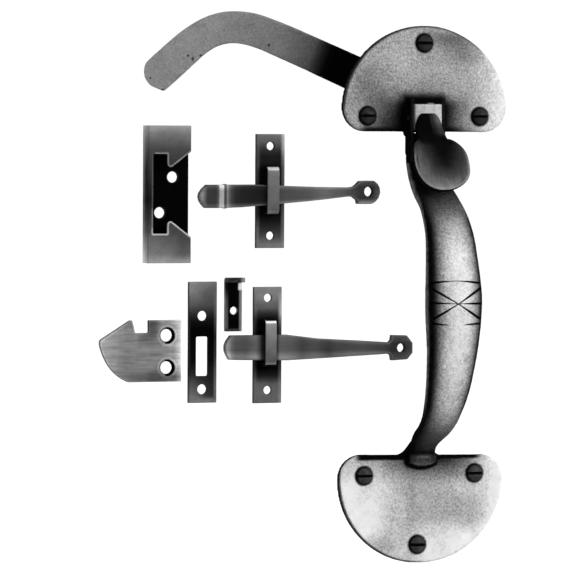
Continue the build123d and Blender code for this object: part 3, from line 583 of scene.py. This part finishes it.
# ----------------------------------------------------------------- fittings
def fitting(node, tone_of, mat=None, voxel=0.36, smooth=2, wave=0.03, seed=60, blunt=None):
    ob = dense(node, node + "_skin", voxel, smooth)
    me = ob.data
    co, no = read(me)
    co += no * (wave * vnoise(co, 6.0, seed))[:, None]
    if blunt:
        a, b, d = blunt
        co[:, 0] += d * sstep(b, a, co[:, 0])
    write(me, co)
    tone = tone_of(co, no)
    tone = tone * (1 + 0.12 * vnoise(co, 5.0, seed + 1))
    attr(ob, "tone", np.maximum(tone, 0.002))
    me.materials.append(mat or M_STEEL)
    settle(ob, node)
    return ob


F = 0.79      # share of a front face's tone that reaches the eye under this light
SIDE = 0.30   # the same for faces turned to the left


def faces(no, disp, side=None, keep=0.4):
    """Tone of a fitting: display values on its front; faces turned away get painted shade, darker or given values."""
    t = lin(disp) / F
    k = sstep(0.2, 0.7, -no[:, 1])
    if side is None:
        return t * mix(keep, 1.0, k)
    return mix(lin(side) / SIDE, t, k)


def outline(x, z, pts):
    return seg_dist(x, z, list(pts) + [pts[0]])[0]


RIM_MOUTH = [(-195.6, -24.5), (-185.7, -24.5), (-185.7, -30.6), (-185.2, -32.2), (-183.9, -33.2), (-182.4, -32.9),
             (-169.0, -23.0), (-160.0, -23.0), (-160.0, -78.4), (-169.0, -78.4), (-182.4, -68.5), (-183.9, -68.2),
             (-185.2, -69.2), (-185.7, -70.8), (-185.7, -76.4), (-195.6, -76.4)]


def rim_strike(co, no):
    x, y, z = co.T
    zz = [-96, -93.6, -89.6, -84.4, -79.2, -74, -54.5, -34.9, -27, -21.9, -16.7, -11.5, -7.6, -5.9]
    # painted shade: darker in the middle, lighter towards the top and bottom ends; the lower part lighter to the left
    # and darker to the right
    t = np.interp(z, zz, [150, 142, 112, 100, 88, 70, 26, 50, 58, 66, 90, 113, 142, 150])
    t = t * mix(1.0, mix(1.1, 0.78, sstep(-196, -172, x)), sstep(-70, -80, z) * sstep(-96, -88, z))
    # painted highlights along the mouth's cut edges and the top and bottom edges
    t = mix(t, np.where(z < -60, 182, 128) - 60 * sstep(-193.5, -195, x) * sstep(-74, -72, z), sstep(1.5, 0.6, outline(x, z, RIM_MOUTH)) * (no[:, 1] < 0.2))
    t = mix(t, 150, sstep(1.0, 0.3, np.minimum(z + 95.7, -5.9 - z)))
    # the left side faces get their own painted light and shade, darkest in the middle
    left_out = np.interp(z, zz, [152, 148, 138, 120, 103, 78, 50, 68, 78, 86, 97, 113, 130, 134])
    left_in = np.interp(z, zz, [146, 138, 124, 106, 86, 58, 18, 26, 46, 60, 80, 108, 124, 130])
    left = mix(left_in, left_out * 1.08 + 8, sstep(-6.5, -3.0, y))
    inside = (y > -7.9) & (x > -198.2)
    front = no[:, 1] < -0.35
    out = faces(no, t, side=left)
    # painted shade inside the channel, with a faint lighter ring at the holes
    back = np.where(front, 0.0015, 0.004)
    for hx, hz in ((-179.2, -39.6), (-188.1, -62.9)):
        back = np.where((np.abs(np.hypot(x - hx, z - hz) - 3.8) < 0.5) & (y < -1.0), 0.02, back)
    # faces turned right get a fixed painted light
    return np.where(inside, back, np.where(no[:, 0] > 0.5, 0.2, out))


def guide(cx, cz, zs, ts, right, rz, rt, lz, lt):
    def f(co, no):
        x, y, z = co.T
        # painted shade across the middle, round the bar and staple, lighter towards the top and bottom
        t = np.interp(z, zs, ts)
        # towards the sides the painted shade is lifted, with painted highlights along the right and left edges
        core = sstep(9.6, 6.5, np.abs(x - cx))
        t = t * core + (t * 0.6 + 42) * (1 - core)
        t = mix(t, np.maximum(t, np.interp(z, rz, rt)), sstep(6.4, 9.2, x - cx))
        t = mix(t, np.maximum(t, np.interp(z, lz, lt)), sstep(-7.6, -9.5, x - cx))
        return faces(no, t, side=np.full(len(co), 34.0))
    return f


def staple(cz, half, top, bottom, peak, low, hi):
    def f(co, no):
        x, y, z = co.T
        # the face lighter towards the top
        t = mix(bottom, top, clamp((z - cz) / (2 * half) + 0.5))
        nz = np.abs(no[:, 2])
        # painted highlight on the rounded bends, painted shade on the steep parts and the legs
        bend = sstep(0.15, 0.35, nz) * sstep(hi, hi - 0.15, nz) * (y < -7.6) * (no[:, 1] < 0)
        t = mix(t, np.where(z > cz, peak, low), bend)
        t = np.where((nz > hi) | (y > -7.6), 6, t)
        # painted shade on the side faces, darker towards the back
        return faces(no, t, side=np.where(y > -9.8, 8.0, 60.0), keep=0.6)
    return f


A_OUT = [(-143.6, -44.5), (-123.4, -44.4), (-105.2, -45.1), (-77.7, -46.0), (-55.6, -46.3), (-52.1, -45.9),
         (-49.9, -44.4), (-47.7, -42.1), (-42.2, -41.8), (-37.2, -41.9), (-34.6, -44.0), (-33.1, -47.0), (-32.9, -50.0),
         (-34.0, -53.3), (-36.3, -55.9), (-39.0, -57.3), (-43.6, -57.4), (-49.1, -57.3), (-49.5, -54.7), (-52.6, -52.5),
         (-56.0, -52.4), (-77.6, -54.8), (-105.1, -57.2), (-132.4, -59.4), (-143.6, -59.8)]
B_OUT = [(-143.4, -147.2), (-140.2, -143.5), (-99.0, -143.5), (-76.9, -146.3), (-43.7, -148.3), (-25.6, -149.5),
         (-24.0, -148.2), (-23.6, -144.7), (-12.6, -145.1), (-8.4, -150.0), (-8.4, -156.8), (-12.2, -161.1),
         (-23.6, -161.7), (-24.0, -158.4), (-25.6, -157.2), (-65.9, -159.1), (-98.9, -160.5), (-134.0, -159.8),
         (-141.4, -159.5), (-143.3, -156.6), (-144.5, -153.7), (-144.6, -150.1)]
CATCH_OUT = [(-229.8, -147.2), (-208.6, -133.0), (-207.4, -133.0), (-205.2, -141.3), (-195.8, -141.3), (-195.8, -133.1),
             (-172.8, -133.1), (-172.8, -173.4), (-209.6, -173.4), (-216.6, -170.0), (-221.8, -165.0), (-226.6, -157.4)]


def bar_a(co, no):
    x, y, z = co.T
    # painted light and shade along the bar: a lit joggle slope with a shaded crease, and shade beside the staple
    t = np.interp(x, [-164.4, -163.2, -161.6, -158, -152, -150.2, -149.2, -146.2, -145.4, -143.6, -142.8, -141.6, -140, -137,
                      -133, -126, -118, -110, -104, -95, -83, -72, -61, -55, -49, -44, -38, -33],
                  [80, 142, 136, 56, 53, 76, 158, 168, 70, 66, 132, 92, 64, 42, 35, 31, 27, 60, 72, 72, 80, 96, 82, 72, 54, 50,
                   56, 84])
    mid = np.interp(x, [-164, -145, -120, -50, -33], [-52, -52, -51.6, -49.6, -49.6])
    hw = np.interp(x, [-164, -145, -120, -55, -48, -33], [7.6, 7.6, 7.0, 3.4, 7.6, 7.6])
    q = (z - mid) / hw
    # painted highlights along the top and bottom edges and on the eye
    t = t * (1 + 0.42 * sstep(0.4, 0.95, q)) + mix(38, 42, sstep(-150, -140, x)) * sstep(0.55, 0.97, -q)
    t += 44 * sstep(-53.0, -56.5, z) * sstep(-50, -46, x) + 16 * sstep(-47, -49, z) * sstep(-40, -35, x)
    # painted highlight along the outline
    t = mix(t, 118, sstep(1.1, 0.4, outline(x, z, A_OUT)) * (x > -143) * 0.55)
    return faces(no, t, keep=0.6)


def bar_b(co, no):
    x, y, z = co.T
    # painted light and shade along the bar: a lit tip and shade beside the staple
    t = np.interp(x, [-144.7, -143.3, -141, -139, -136.2, -129, -122, -119.5, -117.5, -107.5, -105, -102, -95.5, -89,
                      -82.6, -76, -69.6, -63, -50, -37, -30.4, -23.8, -18, -10.6, -8],
                  [70, 150, 128, 92, 74, 74, 90, 68, 34, 34, 90, 88, 79, 64, 73, 72, 58, 72, 84, 94, 84, 62, 58, 70, 90])
    mid = np.interp(x, [-144, -99, -26, -8], [-151.6, -152, -153.3, -153.3])
    hw = np.interp(x, [-144, -99, -26, -24, -8], [8, 8.3, 3.9, 8.2, 8.0])
    q = (z - mid) / hw
    # painted highlights along the top and bottom edges, with a darker line at the bottom edge towards the tip
    t = t * (1 + mix(0.1, 0.5, sstep(-100, -40, x)) * sstep(0.3, 0.9, q) + 0.5 * sstep(0.15, 0.75, -q) - 0.2 * sstep(0.86, 0.98, -q) * (x < -99))
    # painted highlight along the outline
    t = mix(t, 128, sstep(1.4, 0.4, outline(x, z, B_OUT)) * (x > -104) * 0.6)
    return faces(no, t, keep=0.6)


def catch(co, no):
    x, y, z = co.T
    # painted highlight: the right end fades to white
    t = np.interp(x, [-230, -226.5, -222, -217, -212, -188, -183, -178, -175.3, -173.2, -172.6],
                  [172, 160, 148, 138, 129, 130, 138, 156, 188, 226, 240])
    # painted shade patches along the bottom and near the top step, a painted highlight at the top right
    t = mix(t, t * 0.74, sstep(-160, -171, z) * sstep(-222, -205, x))
    t = t * mix(1.0, 0.6, sstep(-147, -138, z) * sstep(-201, -196, x) * sstep(-186, -193, x))
    t = t * mix(1.0, 0.8, sstep(-139, -143, z) * sstep(-205, -200, x) * sstep(-150, -144, z) * sstep(-186, -195, x))
    t = mix(t, 205, sstep(-140, -134, z) * sstep(-182, -175, x) * 0.7)
    t = t * mix(1.0, 0.82, sstep(-163, -171, z) * sstep(-200, -192, x) * sstep(-174.5, -178, x))
    t = t * (1 + 0.1 * vnoise(np.stack([x * 0.08, y, z], 1), 0.8, 93) + 0.08 * vnoise(np.stack([x * 0.15, y, z], 1), 2.4, 94))
    # painted highlight along the outline
    t = mix(t, t + 22, sstep(1.1, 0.4, outline(x, z, CATCH_OUT)))
    for hz in (-143.1, -164.2):
        dx, dz = x + 182.9, z - hz
        r = np.hypot(dx, dz)
        # painted light and shade in each hole, one side lit and the other shaded, with a painted highlight round its
        # rim
        t = mix(t, np.where(dx - 0.3 * dz > 0, 30, 78), sstep(5.5, 5.0, r))
        t = mix(t, t + 26, sstep(0.9, 0.3, np.abs(r - 6.3)))
        t = np.where((r < 5.6) & (y > -3.12), np.where(dx > -1.5, 6, 120), t)
    return faces(no, t, keep=0.5)


def slotted(co, no):
    x, y, z = co.T
    # painted shade across the middle, lighter towards the top and bottom
    t = np.interp(z, [-187.8, -186, -182.5, -176, -169.4, -159.5, -139.9, -134.6, -130, -123.4, -116.9, -110.3, -108.2],
                  [104, 100, 70, 56, 32, 10, 3, 14, 36, 76, 95, 116, 126])
    t = t * mix(1.12, 0.86, sstep(-167, -150, x) * sstep(-150, -112, z)) * mix(1.0, mix(1.25, 0.6, sstep(-166, -151, x)), sstep(-160, -176, z) * sstep(-186, -183, z))
    # painted highlight along the right edge; the shade lifted on the left part
    t = mix(t, np.maximum(t, np.interp(z, [-188, -176, -160, -145, -130, -120, -108], [96, 96, 60, 34, 74, 92, 100])), sstep(-150.4, -149.0, x))
    t = mix(t, np.maximum(t, 34), sstep(-165.8, -166.9, x))
    return faces(no, t, side=np.full(len(co), 30.0))


def clip(co, no):
    x, y, z = co.T
    # painted light along the left edge, the body dark
    t = mix(np.interp(z, [-141, -128, -119, -113], [84, 84, 60, 20]), 4, sstep(-140.9, -138.9, x))
    # painted highlights along the right edge and, white, at the top right bend; lighter at the bottom right
    t = mix(t, 116, sstep(-132.9, -131.4, x))
    t = mix(t, 225, sstep(-133.5, -132.2, x) * sstep(-114.6, -113.2, z) * sstep(-108.6, -109.6, z))
    t = mix(t, 58, sstep(-138.4, -140.0, z) * sstep(-131.5, -133, x))
    # painted highlight towards the lip's right end
    lipt = 42 + 24 * vnoise(co, 2.2, 91) + 84 * sstep(-134.5, -131, x)
    t = np.where((y < -3.6) & (z > -108.9), lipt, t)
    # the left side faces get their own painted light and shade
    return faces(no, t, side=np.where(x < -141, np.interp(z, [-141, -130, -121, -114, -110, -106], [92, 102, 108, 78, 36, 60]) + 12 * vnoise(co, 6.0, 92), 60.0), keep=0.6)


fitting("rim_strike", rim_strike, voxel=0.36, seed=61)
# the guide plates' and staples' painted light and shade values, down their height, along their edges and on their bends
fitting("guide_plate_a", guide(-109.9, -48.6, [-86.4, -83.7, -78.4, -73.1, -67.9, -62.6, -34.9, -29.6, -25.7, -21.7, -16.4, -11.8],
                               [120, 108, 64, 40, 20, 10, 12, 26, 26, 46, 84, 104], 88,
                               [-86, -78, -70, -35, -29, -25, -21, -16, -12], [122, 96, 86, 84, 98, 124, 152, 174, 178],
                               [-86, -84, -78, -73, -66, -30, -26, -12], [116, 108, 100, 86, 50, 66, 62, 90]), voxel=0.32, seed=63)
fitting("guide_plate_b", guide(-111.3, -149.0, [-188.8, -181.4, -176.1, -170.8, -165.6, -160.3, -133.8, -129.9, -125.9, -122.0, -118.0, -112.7],
                               [92, 94, 88, 28, 5, 4, 12, 40, 88, 102, 122, 124], 112,
                               [-188, -181, -176, -171, -166, -150, -140, -134, -130, -126, -122, -118, -113],
                               [120, 118, 118, 80, 62, 62, 62, 112, 160, 168, 160, 146, 126],
                               [-188, -176, -166, -150, -134, -126, -113], [100, 94, 46, 30, 40, 100, 128]), voxel=0.32, seed=65)
fitting("guide_staple_a", staple(-48.3, 12.5, 112, 88, 190, 112, 0.86), voxel=0.24, seed=67)
fitting("guide_staple_b", staple(-148.6, 12.5, 136, 84, 235, 120, 0.68), voxel=0.24, seed=69)
fitting("latch_bar_a", bar_a, mat=M_BRUSHED, voxel=0.34, seed=71, blunt=(-164.4, -150.0, 0.9))
fitting("latch_bar_b", bar_b, mat=M_BRUSHED, voxel=0.34, seed=73, blunt=(-144.6, -134.0, 1.1))
fitting("catch_plate", catch, voxel=0.34, seed=75)
fitting("slotted_strike_plate", slotted, voxel=0.32, seed=77)
fitting("stop_clip", clip, voxel=0.28, seed=79)
fitting("thumb_pivot_pin", lambda co, no: np.full(len(co), 0.02), mat=M_PIN, voxel=0.25, smooth=1, wave=0.0, seed=81)
fitting("tail_hinge_pin", lambda co, no: np.full(len(co), 0.2), mat=M_PIN, voxel=0.25, smooth=1, wave=0.0, seed=83)

# -------------------------------------------------------------------- stage
TARGET = Vector((-0.086, -0.02, -0.11))


def stage_mat(name, col, emit):
    m, nt = new_mat(name)
    N, L = nt.nodes, nt.links
    out = N.new("ShaderNodeOutputMaterial")
    mixn = N.new("ShaderNodeMixShader")
    dif = N.new("ShaderNodeBsdfDiffuse")
    em = N.new("ShaderNodeEmission")
    lp = N.new("ShaderNodeLightPath")
    ns = N.new("ShaderNodeTexNoise")
    ns.inputs["Scale"].default_value = 3.0
    mr = N.new("ShaderNodeMapRange")
    mr.inputs["To Min"].default_value = col - 0.01
    mr.inputs["To Max"].default_value = col + 0.01
    L.new(ns.outputs["Fac"], mr.inputs["Value"])
    cc = N.new("ShaderNodeCombineColor")
    for i in range(3):
        L.new(mr.outputs[0], cc.inputs[i])
    L.new(cc.outputs[0], dif.inputs["Color"])
    em.inputs["Color"].default_value = (1, 1, 1, 1)
    em.inputs["Strength"].default_value = emit
    mul = N.new("ShaderNodeMath")
    mul.operation = "MULTIPLY"
    L.new(lp.outputs["Is Camera Ray"], mul.inputs[0])
    mul.inputs[1].default_value = 1.0
    L.new(mul.outputs[0], mixn.inputs["Fac"])
    L.new(dif.outputs[0], mixn.inputs[1])
    L.new(em.outputs[0], mixn.inputs[2])
    L.new(mixn.outputs[0], out.inputs[0])
    return m


me = bpy.data.meshes.new("pale_floor")
bm = bmesh.new()
bmesh.ops.create_grid(bm, x_segments=2, y_segments=2, size=6.0)
bm.to_mesh(me)
bm.free()
floor = bpy.data.objects.new("pale_floor", me)
floor.location = (0, 0, -0.42)
scene.collection.objects.link(floor)
me.materials.append(stage_mat("pale_floor", 0.8, 1.12))

world = bpy.data.worlds.new("studio")
scene.world = world
world.use_nodes = True
nt = world.node_tree
nt.nodes.clear()
wo = nt.nodes.new("ShaderNodeOutputWorld")
bg_cam = nt.nodes.new("ShaderNodeBackground")
bg_cam.inputs["Strength"].default_value = 1.03
bg_cam.inputs["Color"].default_value = (1, 1, 1, 1)
bg = nt.nodes.new("ShaderNodeBackground")
bg.inputs["Strength"].default_value = 0.16
bg.inputs["Color"].default_value = (1, 1, 1, 1)
mx = nt.nodes.new("ShaderNodeMixShader")
lp = nt.nodes.new("ShaderNodeLightPath")
nt.links.new(lp.outputs["Is Camera Ray"], mx.inputs["Fac"])
nt.links.new(bg.outputs[0], mx.inputs[1])
nt.links.new(bg_cam.outputs[0], mx.inputs[2])
nt.links.new(mx.outputs[0], wo.inputs[0])


def area(name, direction, dist, size, energy):
    d = Vector(direction).normalized()
    li = bpy.data.lights.new(name, "AREA")
    li.shape = "RECTANGLE"
    li.size, li.size_y = size
    li.energy = energy
    ob = bpy.data.objects.new(name, li)
    ob.location = TARGET + d * dist
    ob.rotation_mode = "QUATERNION"
    ob.rotation_quaternion = d.to_track_quat("Z", "Y")
    scene.collection.objects.link(ob)
    return ob


area("key_softbox", (0.72, -0.78, 0.42), 2.4, (1.5, 1.5), 33)
area("top_softbox", (0.1, -0.35, 1.0), 2.0, (1.2, 1.0), 8)
area("left_fill", (-1.0, -0.45, 0.1), 2.4, (1.2, 1.4), 11)
area("low_softbox", (0.3, -0.75, -0.9), 1.2, (0.7, 0.7), 15)

# ------------------------------------------------------------------- camera
cam = bpy.data.cameras.new("camera")
cam.sensor_fit = "HORIZONTAL"
cam.sensor_width = 36.0
cam.lens = 283.447
cam.clip_start, cam.clip_end = 0.05, 60.0
co_ = bpy.data.objects.new("camera", cam)
scene.collection.objects.link(co_)
X = Vector((0.92056363, -0.39055757, 0.00523277))
Y = Vector((0.00881640, 0.03417057, 0.99937713))
Z = Vector((-0.39049311, -0.91994411, 0.03489950))
co_.matrix_world = Matrix(((X.x, Y.x, Z.x, -1.267477), (X.y, Y.y, Z.y, -2.759832), (X.z, Y.z, Z.z, -0.008238), (0, 0, 0, 1)))
scene.camera = co_

scene.view_settings.view_transform = "Standard"
scene.view_settings.look = "None"
scene.view_settings.exposure = 0.0
scene.view_settings.gamma = 1.0

bpy.context.view_layer.update()
